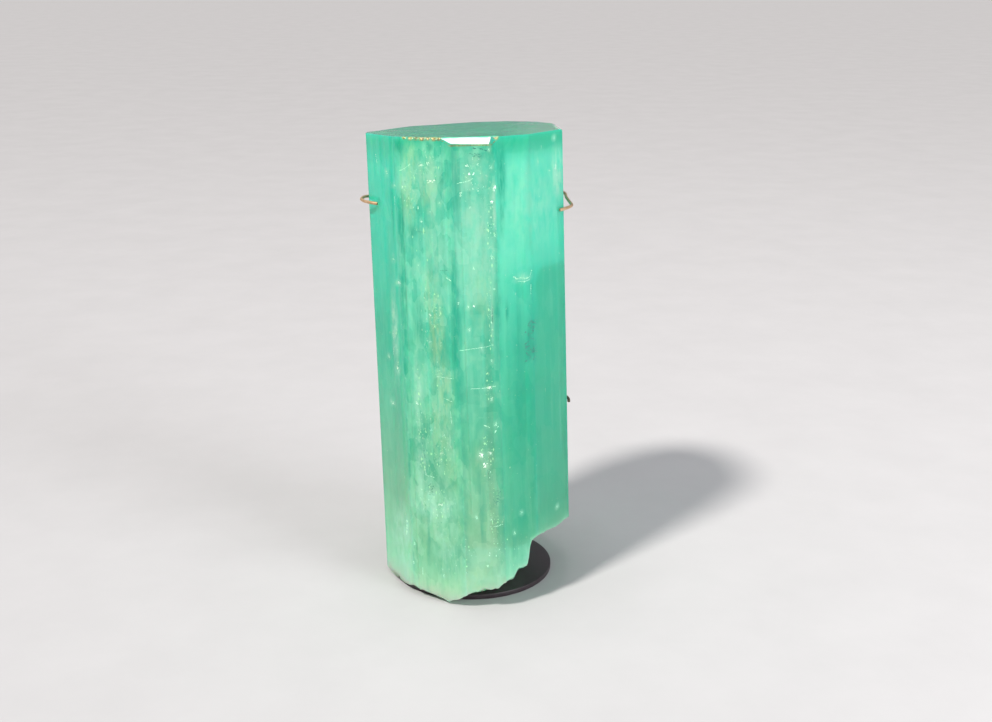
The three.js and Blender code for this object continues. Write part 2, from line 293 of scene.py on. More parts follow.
def end_height(x, y):
    """Height of the flat end in the crystal's frame, with its chips and worn right corner."""
    height = END_Z + 0.05 * fractal(x * 0.12, y * 0.12, x * 0 + 3, 2)
    chip = END_Z + CHIP_SLOPE * (y - CHIP_START_Y)
    right_side = CHIP_RIGHT_START[0] + CHIP_RIGHT_RUN * (y - CHIP_RIGHT_START[1])
    chip_left = END_Z - CHIP_SIDE_SLOPE * np.maximum(0, x - CHIP_LEFT_X)
    chip_right = END_Z - CHIP_SIDE_SLOPE * np.maximum(0, right_side - x)
    height = np.minimum(height, np.maximum(chip, np.maximum(chip_left, chip_right)))
    worn_corner = 0.25 * np.maximum(0, x - WORN_CORNER_X) ** 2 * rise(-9, 6, y)
    worn_edge = 1.6 * np.maximum(0, x - WORN_EDGE_X - 0.03 * y)
    height = np.minimum(height, END_Z - np.maximum(worn_corner, worn_edge))
    for centre, radius in bite_centres():
        reach = np.hypot((x - centre[0]) / 1.35, y - centre[1])
        height = np.minimum(height, END_Z - np.sqrt(np.maximum(0, radius ** 2 - reach ** 2)))
    return height


# ---- crystal: mesh
END_SAMPLES = 160
FOOT_SAMPLES = 360
END_RINGS = 30
FOOT_RINGS = 48
NEAR_FOOT = 0.16
NEAR_END = 0.955


def wall_levels():
    """Places up the wall from 0 to 1, close together near both ends."""
    near_foot = np.linspace(0, NEAR_FOOT, 44, endpoint=False)
    middle = np.linspace(NEAR_FOOT, NEAR_END, 84, endpoint=False)
    return np.concatenate([near_foot, middle, np.linspace(NEAR_END, 1, 20)])


def wall_relief(points, faces, fractions, heights):
    """How far the wall stands in from its flat face: panels, waves and fine upright ribs."""
    x, y = points.T
    widths = FACE_WIDTHS[faces]
    waves = 0.05 * fractal(x * 0.14, y * 0.14, heights * 0.03, 2)
    ribs = 0.01 * fractal(x * 1.1, y * 1.1, heights * 0.03, 2)
    fade = rise(0, 1.2, fractions * widths) * rise(0, 1.2, (1 - fractions) * widths)
    return panel_depth(faces, fractions, heights) + (waves + ribs) * fade


def surface_depth(x, y, z):
    """How far the wall stands in at one point of the plan."""
    face = nearest_face(x, y)
    start = CORNERS[face[0] - 1]
    fraction = np.hypot(x - start[0], y - start[1]) / FACE_WIDTHS[face]
    return float(wall_relief(np.array([[x, y]]), face, fraction, np.array([z]))[0])


def crystal_geometry():
    """Vertices and faces, 1 for each vertex of the flat end, and the height of each above the foot."""
    plan, faces, fractions = plan_columns()
    count = len(plan)
    bottom = foot_local(*plan.T)
    top = end_height(*plan.T)
    rows = []
    for level in wall_levels():
        heights = bottom + (top - bottom) * level
        relief = wall_relief(plan, faces, fractions, heights)
        rows.append(np.column_stack([plan - FACE_NORMALS[faces] * relief[:, None], heights]))

    def cap(edge, surface, rings, crowding, sample_count):
        """Rings from the wall in to the centre, evenly spaced along the surface."""
        samples = np.linspace(1, 0, sample_count) ** 0.8
        x, y = np.outer(samples, edge[:, 0]), np.outer(samples, edge[:, 1])
        z = surface(x.ravel(), y.ravel()).reshape(x.shape)
        z[0] = edge[:, 2]
        z[-1] = z[-1].mean()
        steps = np.sqrt(np.diff(x, axis=0) ** 2 + np.diff(y, axis=0) ** 2 + 0.6 * np.diff(z, axis=0) ** 2)
        travel = np.vstack([np.zeros(count), np.cumsum(steps, axis=0)])
        wanted = np.linspace(0, 1, rings + 1)[1:-1] ** crowding
        layers = np.empty((rings - 1, count, 3))
        for column in range(count):
            along = travel[:, column] / travel[-1, column]
            for axis, values in enumerate((x, y, z)):
                layers[:, column, axis] = np.interp(wanted, along, values[:, column])
        return list(layers), np.array([[0.0, 0.0, z[-1][0]]])

    top_rings, top_centre = cap(rows[-1], end_height, END_RINGS, 1.9, END_SAMPLES)
    bottom_rings, bottom_centre = cap(rows[0], foot_local, FOOT_RINGS, 1.15, FOOT_SAMPLES)
    vertices = np.vstack(rows + top_rings + [top_centre] + bottom_rings + [bottom_centre])
    wall_count, end_count = len(rows) * count, len(top_rings) * count + 1
    on_end = np.zeros(len(vertices))
    on_end[wall_count:wall_count + end_count] = 1
    above_foot = np.full(len(vertices), END_Z)
    above_foot[:wall_count] = vertices[:wall_count, 2] - np.tile(bottom, len(rows))

    faces_out = []
    rings = [row * count for row in range(len(rows) + END_RINGS - 1)]
    for low, high in zip(rings, rings[1:]):
        faces_out += band(low, high, count)
    peak = rings[-1] + count
    faces_out += [(rings[-1] + i, rings[-1] + (i + 1) % count, peak) for i in range(count)]
    rings = [0] + [peak + 1 + ring * count for ring in range(FOOT_RINGS - 1)]
    for outer, inner in zip(rings, rings[1:]):
        faces_out += band(inner, outer, count)
    under = rings[-1] + count
    faces_out += [(rings[-1] + (i + 1) % count, rings[-1] + i, under) for i in range(count)]
    return vertices, faces_out, on_end, above_foot


# ---- crystal: tints
# Soft spots of each tint, front and back: X, Z, half width, half height, strength.
PALE_SPOTS = ([
    (-9.8, 20, 4.6, 4.8, 1), (0.5, 79, 3.4, 12, 0.55), (11.5, 84, 6, 9, 0.35), (-8.5, 91, 3.8, 4.5, 0.7),
    (0.5, 91, 3.4, 5, 0.65), (-8, 73, 4, 7, 0.45), (2, 7, 6, 6, 0.45), (10, 9, 3, 3, 0.4),
    (-17.5, 9, 2.8, 8, 0.65), (-12.6, 45, 0.8, 8, 0.9), (-17.3, 58, 0.8, 7, 0.8), (17.8, 89, 1.4, 5, 0.8),
    (-9.3, 95, 0.5, 1.5, 0.9), (-16.6, 13.5, 0.5, 2.6, 1), (-4, 6, 1, 7, 0.6), (-7.5, 12, 3, 6, 0.6),
    (4.4, 84, 0.35, 6, 0.8), (3.9, 73, 0.3, 5, 0.6), (3.4, 61, 0.3, 6, 0.6), (9.7, 69, 1.7, 0.7, 0.8),
    (-6.4, 36, 1.2, 5, 0.6), (-12.6, 29, 1.2, 6, 0.8), (-13.6, 90, 0.9, 4, 0.7),
], [
    (6, 74, 5, 14, 0.55), (-9, 52, 3, 16, 0.5), (10, 30, 4, 9, 0.55), (-3, 14, 7, 8, 0.6),
    (15, 60, 1.2, 15, 0.5),
])
WARM_SPOTS = ([
    (-8.2, 58, 1.5, 8, 0.8), (-7, 46, 1.9, 6, 0.65), (-13, 87, 1.6, 7, 0.6), (-12.3, 93.5, 1.4, 3, 0.6),
    (-9.5, 66, 1.8, 5, 0.45), (-8.5, 37, 3, 6, 0.45), (1.5, 66, 2.5, 6, 0.3), (-9, 88, 2, 4, 0.55),
    (-6, 28, 2, 6, 0.35), (-11, 20, 3, 4, 0.4), (0.5, 31, 2, 4, 0.3), (0, 4, 5, 4, 0.35),
], [
    (-4, 64, 1.6, 12, 0.6), (9, 47, 1.4, 9, 0.5), (2, 33, 2.2, 7, 0.4),
])
DEEP_SPOTS = ([
    (-4.4, 55, 0.35, 5, 0.9), (-16.6, 84, 0.35, 7, 0.5), (4.6, 62, 0.5, 10, 0.6), (-4.1, 62, 0.8, 15, 0.65),
    (-3.5, 89, 1.1, 8, 0.4), (-14.6, 96.3, 1, 1.2, 0.9), (-8.1, 96.2, 0.6, 0.9, 0.9),
    (-14.7, 80, 0.9, 6, 0.85), (-14.8, 66, 0.7, 9, 0.65), (-11.8, 60, 1.3, 5, 0.5), (8.8, 58, 0.4, 9, 0.5),
    (6.5, 62.5, 0.25, 1.8, 0.9), (-7, 7.5, 3.4, 4, 0.4), (6.5, 17, 3, 12, 0.26), (6, 91, 0.9, 7, 0.85),
    (5.9, 82, 0.5, 4, 0.6), (-12.2, 79, 1.4, 1.2, 0.5), (-20.5, 55, 1.6, 8, 0.5), (10.9, 56, 0.5, 2.2, 0.9),
    (11.9, 54.2, 0.45, 1.8, 0.9), (10.7, 52.4, 0.6, 0.8, 0.8), (11.5, 58.8, 0.4, 1, 0.7),
    (12, 51.8, 0.4, 0.8, 0.7),
], [
    (12, 82, 3, 8, 0.5), (-12, 30, 4, 12, 0.5), (0, 50, 0.8, 18, 0.6),
])
DUST_SPOTS = ([
    (3.4, 81, 1.3, 14, 0.9), (2.6, 56, 1.2, 12, 0.8), (1.5, 32, 1.6, 8, 0.9), (2.6, 15, 1.8, 7, 0.7),
    (-12.2, 88, 2.6, 8, 0.9), (-9.2, 92, 3.2, 4, 0.8), (-9.2, 60, 3, 12, 0.8), (-9.8, 34, 4, 9, 0.9),
    (-9.8, 20, 5, 5, 0.8), (0.5, 89, 2.8, 4, 0.7), (-17.4, 57, 0.9, 8, 0.6), (-6, 8, 4, 6, 0.5),
], [
    (-4, 66, 2, 18, 0.9), (7, 40, 3, 14, 0.8), (-10, 30, 3, 12, 0.8), (12, 78, 3, 9, 0.7),
    (2, 12, 6, 6, 0.7),
])
SPOTS = {"pale": PALE_SPOTS, "warm": WARM_SPOTS, "deep": DEEP_SPOTS, "dust": DUST_SPOTS}
# Each face from the front one round to the right: lightness, upright streaks, blotches, greyness.
FACE_LOOKS = [
    (0.06, 1, 0.5, 1), (0.08, 0.6, 0.12, 0.2), (0, 0.25, 0.05, 0), (0.1, 0.5, 0.2, 0), (0.3, 1, 0.6, 0.3),
    (0.05, 0.8, 0.8, 0.6), (0.25, 1, 0.6, 0.3), (0, 0.8, 0.9, 0.6), (0.2, 1, 0.6, 0.3), (0.1, 0.7, 0.5, 0.3),
    (0, 0.3, 0.15, 0), (0.1, 1, 0.85, 0.1),
]
FACE_LIGHT, FACE_STREAKS, FACE_MOTTLE, FACE_DULL = np.array(FACE_LOOKS).T
# Growth blocks with clear edges: side (-1 front, 1 back), X from, X to, Z from, Z to, lightness.
LIGHT_BLOCKS = [
    (-1, -14.4, -4.4, 60, 78.7, 0.4), (-1, 5.5, 17.8, 72.5, 83.7, 0.26), (-1, 7.3, 16.8, 84.3, 94.6, 0.3),
    (-1, -3.4, 4.4, 66, 84, 0.9), (-1, -3.4, 4.4, 84.5, 97, 0.2), (-1, 5.2, 11.5, 70.5, 93, 0.25),
    (-1, -10, -6, 40, 52, 0.2), (-1, -2.6, 1.2, 36, 60, 0.2), (-1, -14, -5.5, 3, 16, 0.15),
    (-1, -3, 9, 0, 11.5, 0.55), (-1, -12, -8, 82, 88, 0.25), (1, -12, -2, 44, 70, 0.3),
    (1, 3, 12, 20, 55, 0.3), (1, 4, 14, 72, 92, 0.35), (1, -16, -8, 6, 24, 0.3),
]
RIGHT_ZONE_X = 12.5
RIGHT_ZONE_TOP_Z = 71.0


def spots(x, y, z, front, back=()):
    """The strength of soft spots at each vertex."""
    total = np.zeros_like(x)
    for side, places in ((-1, front), (1, back)):
        facing = rise(-3, 5, y * side)
        for centre_x, centre_z, wide, high, strength in places:
            reach = np.hypot((x - centre_x) / wide, (z - centre_z) / high)
            total = np.maximum(total, strength * facing * np.clip(1.45 - reach, 0, 1))
    return total


def light_blocks(x, y, z, faces):
    """How light each vertex is, from its face and the growth blocks."""
    total = FACE_LIGHT[faces]
    wander = 0.25 * fractal(x * 0.5, y * 0.5, z * 0.1, 2)
    for side, x_from, x_to, z_from, z_to, lightness in LIGHT_BLOCKS:
        across = rise(x_from - 0.7, x_from, x + wander) * rise(x_to + 0.7, x_to, x + wander)
        up = rise(z_from - 3.5, z_from, z) * rise(z_to + 0.5, z_to - 0.3, z + wander * 2)
        total = total + lightness * across * up * rise(-3, 5, y * side)
    return total


def right_zone(x, y, z):
    """The deep green block of the right faces, with its clear upper edge."""
    wander = 0.5 * fractal(x * 0.3, y * 0.3, z * 0.12, 2)
    across = rise(RIGHT_ZONE_X - 0.8, RIGHT_ZONE_X + 0.5, x + wander - 0.35 * np.maximum(0, z - 67))
    blur = 1.4 + 9 * rise(-8, 2, y)
    up = 1 - rise(RIGHT_ZONE_TOP_Z - blur, RIGHT_ZONE_TOP_Z, z + wander)
    down = rise(22, 54, z)
    return across * up * down * rise(14, 4, y)


def corner_distance(x, y):
    """How far each vertex is from the prism's nearest upright edge, on the plan."""
    return np.min([np.hypot(x - corner_x, y - corner_y) for corner_x, corner_y in CORNERS], axis=0)


def rust(x, y, z):
    """Golden brown in the small chips of the top front edge and round the big one."""
    total = np.zeros_like(x)
    for centre, radius in bite_centres():
        reach = np.sqrt((x - centre[0]) ** 2 + (y - centre[1]) ** 2 + (z - END_Z) ** 2)
        total = np.maximum(total, np.clip(1.9 - reach / radius, 0, 1))
    near_front = y < -19.5
    lower_rim = np.exp(-((z - 96.45) / 0.18) ** 2) * rise(-4.6, -3.8, x) * rise(4.8, 4.0, x)
    return np.maximum(total, 0.6 * near_front * lower_rim)


def frost(x):
    """Greyer, rubbed patches of the flat end, near its left and right corners."""
    return 0.4 * rise(6, 18, x) + 0.12 * rise(-12, -18, x)


def chipped(x, y, z):
    """The white faces of the big chip, a painted highlight where the facet catches the light, and the pale
    rubbed corner on the right.
    """
    drop = rise(0.1, 0.35, END_Z - z)
    front = drop * (y < -18) * rise(-7.0, -6.2, x) * rise(6.6, 6.0, x)
    corner = 0.6 * rise(0.05, 0.4, END_Z - z) * rise(16.0, 17.0, x)
    return np.maximum(front, corner)


# ---- materials
class Nodes:
    """Short names for building the node tree of a material or a world."""

    def __init__(self, owner):
        owner.use_nodes = True
        self.tree = owner.node_tree
        self.tree.nodes.clear()

    def add(self, kind, **values):
        """A node with its settings, in small letters, and its sockets, by capitalised name."""
        node = self.tree.nodes.new("ShaderNode" + kind)
        for name, value in values.items():
            if name[0].islower():
                setattr(node, name, value)
            else:
                self.put(node.inputs[name.replace("_", " ")], value)
        return node

    def put(self, socket, value):
        if isinstance(value, bpy.types.NodeSocket):
            self.tree.links.new(value, socket)
        else:
            socket.default_value = value

    def math(self, operation, *values):
        node = self.add("Math", operation=operation)
        for socket, value in zip(node.inputs, values):
            self.put(socket, value)
        return node.outputs[0]

    def times(self, *shares):
        """The product of sockets, numbers and attributes that are painted under a name."""
        product, *others = [self.painted(share) if isinstance(share, str) else share for share in shares]
        for other in others:
            product = self.math("MULTIPLY", product, other)
        return product

    def scaled(self, value, low, high):
        """The value's stretch from low to high spread over 0 to 1, and held there."""
        return self.add("MapRange", clamp=True, Value=value, From_Min=low, From_Max=high).outputs[0]

    def ramp(self, value, stops):
        node = self.add("ValToRGB", Fac=value)
        ramp = node.color_ramp
        while len(ramp.elements) < len(stops):
            ramp.elements.new(0.5)
        for element, (place, colour) in zip(ramp.elements, stops):
            element.position = place
            element.color = colour
        return node.outputs["Color"]

    def mix(self, factor, a, b, blend="MIX"):
        node = self.add("Mix", data_type="RGBA", blend_type=blend)
        for index, value in ((0, factor), (6, a), (7, b)):
            self.put(node.inputs[index], value)
        return node.outputs[2]

    def noise(self, vector, scale, detail=2.0, roughness=0.5):
        node = self.add("TexNoise", Vector=vector, Scale=scale, Detail=detail, Roughness=roughness)
        return node.outputs["Fac"]

    def blocks(self, vector, scale):
        """A random value for each of many upright blocks, with slightly bent edges."""
        wander = self.add("TexNoise", Vector=vector, Scale=0.5)
        bent = self.add("Mix", data_type="VECTOR")
        for index, value in ((0, 0.12), (4, self.stretched(vector, scale)), (5, wander.outputs["Color"])):
            self.put(bent.inputs[index], value)
        cells = self.add("TexVoronoi", distance="CHEBYCHEV", Vector=bent.outputs[1], Scale=1.0)
        return self.add("SeparateColor", Color=cells.outputs["Color"]).outputs["Red"]

    def stretched(self, vector, scale):
        return self.add("Mapping", Vector=vector, Scale=scale).outputs["Vector"]

    def painted(self, name):
        return self.add("Attribute", attribute_name=name).outputs["Fac"]


def crystal_place(nodes):
    """Places in the crystal's own frame, in millimetres."""
    where = nodes.add("TexCoord").outputs["Object"]
    location, turn, _ = CRYSTAL.decompose()
    mapping = nodes.add("Mapping", vector_type="TEXTURE", Vector=where, Location=tuple(location * MM),
                        Rotation=turn.to_euler(), Scale=(MM, MM, MM))
    return mapping.outputs["Vector"]


# Colours up the crystal, from its foot: left strip, front, right side.
LEFT_TONES = [
    (0, (190, 246, 206)), (0.06, (152, 236, 190)), (0.2, (124, 197, 158)), (0.36, (98, 200, 162)),
    (0.55, (22, 203, 166)), (0.75, (28, 216, 184)), (0.93, (36, 232, 200)), (1, (22, 196, 164)),
]
FRONT_TONES = [
    (0, (204, 246, 200)), (0.06, (172, 230, 184)), (0.12, (156, 218, 172)), (0.22, (140, 210, 168)),
    (0.34, (92, 199, 158)), (0.48, (98, 214, 177)), (0.62, (90, 218, 184)), (0.78, (108, 232, 202)),
    (0.94, (84, 222, 190)), (0.97, (52, 206, 172)), (1, (36, 184, 150)),
]
RIGHT_TONES = [
    (0, (176, 232, 188)), (0.08, (118, 200, 158)), (0.18, (50, 170, 132)), (0.3, (28, 174, 137)),
    (0.48, (6, 180, 144)), (0.62, (8, 196, 162)), (0.78, (50, 224, 190)), (0.945, (74, 228, 196)),
    (0.965, (34, 202, 168)), (1, (14, 178, 144)),
]
RUST_TONES = [(0.35, (96, 58, 20)), (0.5, (176, 122, 52)), (0.66, (236, 214, 140))]


def emerald_material():
    material = bpy.data.materials.new("emerald")
    nodes = Nodes(material)
    scaled, times = nodes.scaled, nodes.times
    place = crystal_place(nodes)
    parts = nodes.add("SeparateXYZ", Vector=place)
    height = nodes.math("DIVIDE", parts.outputs["Z"], END_Z)

    def drawn_out(scale, detail=3.0, roughness=0.5):
        """Noise with its own scale across, in depth and upwards."""
        return nodes.noise(nodes.stretched(place, scale), 1.0, detail, roughness)

    def tones(stops, value=height):
        return nodes.ramp(value, [(at, srgb(*colour)) for at, colour in stops])

    def wash(colour, *shares):
        """Lays a colour over the tone so far, by the product of its shares."""
        nonlocal tone
        tone = nodes.mix(times(*shares), tone, colour)

    slow = drawn_out((0.12, 0.12, 0.05))
    streaks = drawn_out((0.45, 0.45, 0.03))
    fine = drawn_out((2.2, 2.2, 0.3), 4.0, 0.65)
    cloud = drawn_out((0.5, 0.5, 0.28), 5.0, 0.6)
    soft = drawn_out((1.1, 1.1, 0.36), 3.0, 0.55)
    patches = drawn_out((0.6, 0.6, 0.3), 5.0, 0.58)
    grit = drawn_out((2.0, 2.0, 1.2), 3.0, 0.6)
    deep = srgb(8, 172, 144)
    whitish = srgb(186, 250, 218)

    across = nodes.math("ADD", parts.outputs["X"], times(slow, 4.0))
    tone = nodes.mix(scaled(across, -15.5, -12.5), tones(LEFT_TONES), tones(FRONT_TONES))
    wash(tones(RIGHT_TONES), scaled(across, 3.6, 10.4))
    wash(srgb(6, 184, 146), "right_zone", 0.7)
    wash(srgb(150, 246, 218), "light", 0.5)
    wash(srgb(66, 218, 172), "end", 0.9)
    wash(deep, scaled(streaks, 0.44, 0.3), "streaked", 0.42)
    wash(whitish, scaled(streaks, 0.56, 0.75), "streaked", 0.34)
    # Painted shade along the prism's upright edges, where refraction darkens them.
    wash(deep, "edge", scaled(cloud, 0.35, 0.6), 0.5)
    wash(srgb(192, 234, 180), "warm", scaled(soft, 0.34, 0.58))
    wash(srgb(190, 250, 222), "pale", scaled(cloud, 0.3, 0.6))
    # Growth blocks: large ones on the blotchy faces, small ones faintly everywhere.
    large = times("mottled", 0.26)
    small = nodes.math("ADD", times("mottled", 0.12), 0.03)
    for scale, share in (((0.5, 0.5, 0.26), large), ((0.24, 0.24, 0.1), small)):
        cells = nodes.blocks(place, scale)
        wash(whitish, scaled(cells, 0.5, 0.8), share)
        wash(deep, scaled(cells, 0.5, 0.2), share)
    wash(srgb(178, 244, 206), scaled(patches, 0.51, 0.64), "mottled", 0.32)
    wash(srgb(38, 182, 140), scaled(patches, 0.47, 0.34), "mottled", 0.3)
    wash(deep, "deep", scaled(fine, 0.2, 0.58))
    dust = times("dust", 0.1)
    wash(srgb(225, 255, 225), scaled(nodes.math("ADD", grit, dust), 0.7, 0.78), 0.6)
    wash(deep, scaled(nodes.math("SUBTRACT", grit, dust), 0.28, 0.2), 0.6)
    # Painted light: a pale line along the foot's lower rim, where light shines out through the thin broken
    # edge.
    wash(srgb(196, 252, 208), "foot_rim", 0.55)
    tone = nodes.mix(nodes.painted("dull"), tone, (1.0, 0.87, 0.88, 1.0), "MULTIPLY")
    wash(srgb(214, 226, 216), "frost")
    # Painted highlight: the white of the big chip's faces, with the pale corner on the right.
    wash(srgb(252, 254, 248), "chipped")
    wash(tones(RUST_TONES, fine), "rust")

    ribs = drawn_out((5.0, 5.0, 0.35), 4.0, 0.6)
    bump = nodes.add("Bump", Height=ribs, Strength=0.04, Distance=0.0001)
    rough = nodes.math("ADD", times("broken", 0.16), 0.1)
    surface = nodes.add("BsdfPrincipled", Base_Color=tone, Roughness=rough, Normal=bump.outputs["Normal"],
                        IOR=1.57, Transmission_Weight=0.45, Specular_IOR_Level=0.22,
                        Subsurface_Weight=0.8, Subsurface_Radius=(0.35, 1.0, 0.75),
                        Subsurface_Scale=7 * MM)
    body = nodes.add("VolumeAbsorption", Color=(0.02, 0.95, 0.85, 1), Density=42.0)
    nodes.add("OutputMaterial", Surface=surface.outputs[0], Volume=body.outputs[0])
    return material


def plain_material(name, colour, other, scale, roughness, metallic=0.0):
    """A finish that wanders between two display colours in small grain."""
    material = bpy.data.materials.new(name)
    nodes = Nodes(material)
    grain = nodes.noise(nodes.add("TexCoord").outputs["Object"], scale, 4.0, 0.6)
    tone = nodes.mix(nodes.scaled(grain, 0.3, 0.7), srgb(*colour), srgb(*other))
    rough = nodes.math("ADD", nodes.times(grain, 0.2), roughness)
    bump = nodes.add("Bump", Height=grain, Strength=0.1, Distance=0.00005)
    surface = nodes.add("BsdfPrincipled", Base_Color=tone, Roughness=rough, Metallic=metallic,
                        Normal=bump.outputs["Normal"])
    nodes.add("OutputMaterial", Surface=surface.outputs[0])
    return material


EMERALD = emerald_material()
BLACK_PAINT = plain_material("black_paint", (42, 31, 36), (54, 43, 48), 700, 0.35)
BRASS = plain_material("brass", (216, 182, 144), (180, 144, 106), 450, 0.32, 0.65)
# A darker copy of the brass for the lower claws: painted shade, as they sit in shadow.
SHADED_BRASS = plain_material("shaded_brass", (112, 88, 64), (66, 52, 42), 450, 0.42, 0.55)
WHITE_INCLUSION = plain_material("white_inclusion", (244, 248, 240), (206, 232, 212), 900, 0.3)
PALE_INCLUSION = plain_material("pale_inclusion", (196, 255, 226), (160, 244, 205), 900, 0.3)
SOFT_INCLUSION = plain_material("soft_inclusion", (190, 226, 202), (150, 206, 176), 900, 0.4)
FLAKE_INCLUSION = plain_material("flake_inclusion", (160, 212, 164), (128, 192, 144), 900, 0.5)
DARK_INCLUSION = plain_material("dark_inclusion", (12, 112, 100), (6, 88, 80), 900, 0.4)
# Brown of the chips' crust, and the painted shadow under the rim beads.
BROWN_CRUST_AND_SHADOW = plain_material("brown_crust_and_shadow", (84, 60, 28), (138, 110, 58), 1500, 0.6)
PALE_CRUST = plain_material("pale_crust", (252, 246, 200), (214, 196, 128), 1500, 0.5)


# ---- crystal piece
def make_crystal():
    vertices, faces, on_end, above_foot = crystal_geometry()
    crystal = new_object("emerald_prism", to_stand(vertices), faces, EMERALD, 24)
    x, y, z = vertices.T
    face = nearest_face(x, y)
    tints = {name: spots(x, y, z, *places) for name, places in SPOTS.items()}
    tints["pale"] = np.maximum(tints["pale"], 0.75 * spots(x, y, z, crack_glow()))
    wall_mottle = FACE_MOTTLE[face] * rise(99, 94, z) * rise(-14, 14, z)
    tints.update(
        mottled=np.maximum(wall_mottle, 0.4 * on_end),
        streaked=FACE_STREAKS[face],
        dull=FACE_DULL[face],
        light=light_blocks(x, y, z, face),
        right_zone=right_zone(x, y, z),
        # painted shade along the upright edges, where refraction darkens them
        edge=np.exp(-(corner_distance(x, y) / 0.8) ** 2),
        # painted light along the bottom rim of the wall
        foot_rim=np.exp(-above_foot / 0.5),
        broken=rise(16, 12, z) * rise(22.5, 19, np.hypot(x, y)),
        end=on_end,
        frost=on_end * frost(x),
        # painted highlight on the big chip's faces, with the pale worn corner
        chipped=on_end * chipped(x, y, z),
        rust=rust(x, y, z),
    )
    for name, values in tints.items():
        paint(crystal, name, values)
    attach(crystal, "root")
    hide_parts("crystal")


# ---- inclusions
FLUSH = 0.02
CRACK_FLAKES = 12


def plan_front(x, side=-1):
    """Y of the wall at a place across, on the front (-1) or the back (1)."""
    found = []
    for (x_from, y_from), (x_to, y_to) in zip(np.roll(CORNERS, 1, axis=0), CORNERS):
        if (x_from - x) * (x_to - x) <= 0 and abs(x_from - x_to) > 1e-9:
            found.append(y_from + (y_to - y_from) * (x - x_from) / (x_to - x_from))
    return min(found) if side < 0 else max(found)


def wall_place(x, z, depth, side=-1):
    """A point behind the wall by a depth, and the turn that lays a flake along the wall there."""
    y = plan_front(x, side)
    normal = FACE_NORMALS[nearest_face(x, y)[0]]
    inward = Vector((-normal[0], -normal[1], 0))
    return Vector((x, y, z)) + inward * (depth + surface_depth(x, y, z)), inward.to_track_quat("Y", "Z")


class Grains:
    """Many small closed shapes gathered into one mesh, in the crystal's own frame."""

    LENS = [(1, 0, 0), (-1, 0, 0), (0, 1, 0), (0, -1, 0), (0, 0, 1), (0, 0, -1)]
    LENS_FACES = [(0, 2, 4), (2, 1, 4), (1, 3, 4), (3, 0, 4), (2, 0, 5), (1, 2, 5), (3, 1, 5), (0, 3, 5)]

    def __init__(self, seed):
        self.random = random.Random(seed)
        self.draw = self.random.uniform
        self.vertices = []
        self.faces = []

    def lens(self, centre, sizes, turn=None):
        """A shape of eight faces with its half sizes, turned as asked."""
        start = len(self.vertices)
        for corner in self.LENS:
            point = Vector(c * s for c, s in zip(corner, sizes))
            if turn:
                point.rotate(turn)
            self.vertices.append(tuple(point + Vector(centre)))
        self.faces += [tuple(start + i for i in face) for face in self.LENS_FACES]

    def any_turn(self):
        return Vector([self.random.gauss(0, 1) for _ in range(3)]).to_track_quat("Z", "Y")

    def inside(self, radius, free_share, z_from, z_to):
        """A place within a radius of the crystal's axis, outside a share of that area."""
        angle = self.draw(0, 2 * math.pi)
        reach = radius * math.sqrt(self.draw(free_share, 1))
        return (reach * math.cos(angle), reach * math.sin(angle), self.draw(z_from, z_to))

    def crack(self, x, z, wide, high):
        """A bright crack, half as wide and high as it is: flakes nearly flush with the front."""
        for _ in range(CRACK_FLAKES):
            dx = self.draw(-0.9, 0.9) * wide
            dz = self.draw(-0.9, 0.9) * high
            point, flat = wall_place(x + dx, z + dz, FLUSH)
            width = wide * self.draw(0.15, 0.55)
            height = high * self.draw(0.2, 0.7)
            self.lens(point, (width, 0.05, height), flat)

    def stroke(self, points, wide):
        """A thin line of flakes, flush with the front, through X and Z places."""
        for (x_from, z_from), (x_to, z_to) in zip(points, points[1:]):
            count = max(2, round(math.hypot(x_to - x_from, z_to - z_from) / (0.9 * wide)))
            for step in range(count + 1):
                share = step / count
                x = x_from + (x_to - x_from) * share
                z = z_from + (z_to - z_from) * share + self.draw(-0.4, 0.4) * wide
                size = wide * self.draw(0.5, 1.4)
                point, flat = wall_place(x, z, FLUSH)
                if self.draw(0, 1) > 0.15:
                    self.lens(point, (size * 1.3, 0.04, size), flat)

    def veil(self, x, z, depth, wide, high, count, tilt=0.0, side=-1, coarse=1.0):
        """A film of small upright flakes behind the wall, a healed crack."""
        for _ in range(count):
            across = self.draw(-1, 1)
            up = self.draw(-1, 1) * math.sqrt(max(0, 1 - across * across))
            dx, dz = across * wide, up * high + across * wide * tilt
            point, flat = wall_place(x + dx, z + dz, FLUSH + depth * self.draw(0, 1) ** 3, side)
            width = coarse * (0.05 + 0.14 * self.draw(0, 1) ** 3)
            height = width * self.draw(0.7, 3.5)
            if z + dz > foot_local(np.array([point.x]), np.array([point.y]))[0] + 0.5:
                self.lens(point, (width, 0.04, height), flat)

    def place(self, name, material):
        """Puts the gathered shapes in the scene as one piece."""
        obj = new_object(name, to_stand(np.array(self.vertices)), self.faces, material)
        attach(obj, "root")


# Cracks that reach the front: X, Z, half width, half height.
BRIGHT_SPECKS = [
    (-8.2, 89.2, 0.85, 0.34), (0.1, 90.8, 0.62, 0.34), (-8.6, 92.7, 0.34, 0.4), (4, 85.1, 0.26, 0.4),
    (-10.4, 81, 0.16, 0.2), (-0.7, 92.5, 0.32, 0.24), (-17.1, 48.8, 0.3, 0.6), (-0.2, 64.1, 0.24, 0.24),
    (-9.5, 61.7, 0.26, 0.28), (2.4, 46.9, 0.5, 0.26), (0.2, 32.4, 0.4, 0.5), (2.1, 32.8, 0.28, 0.28),
    (1, 30.1, 0.4, 0.5), (-18.7, 40.6, 0.3, 0.34), (-8.8, 20.6, 0.52, 0.26), (4.6, 87.8, 0.26, 0.6),
    (-16, 67.8, 0.3, 0.3), (-13, 42.4, 0.22, 0.34), (17.3, 90.5, 0.22, 0.6), (-10, 92.4, 0.26, 0.26),
]
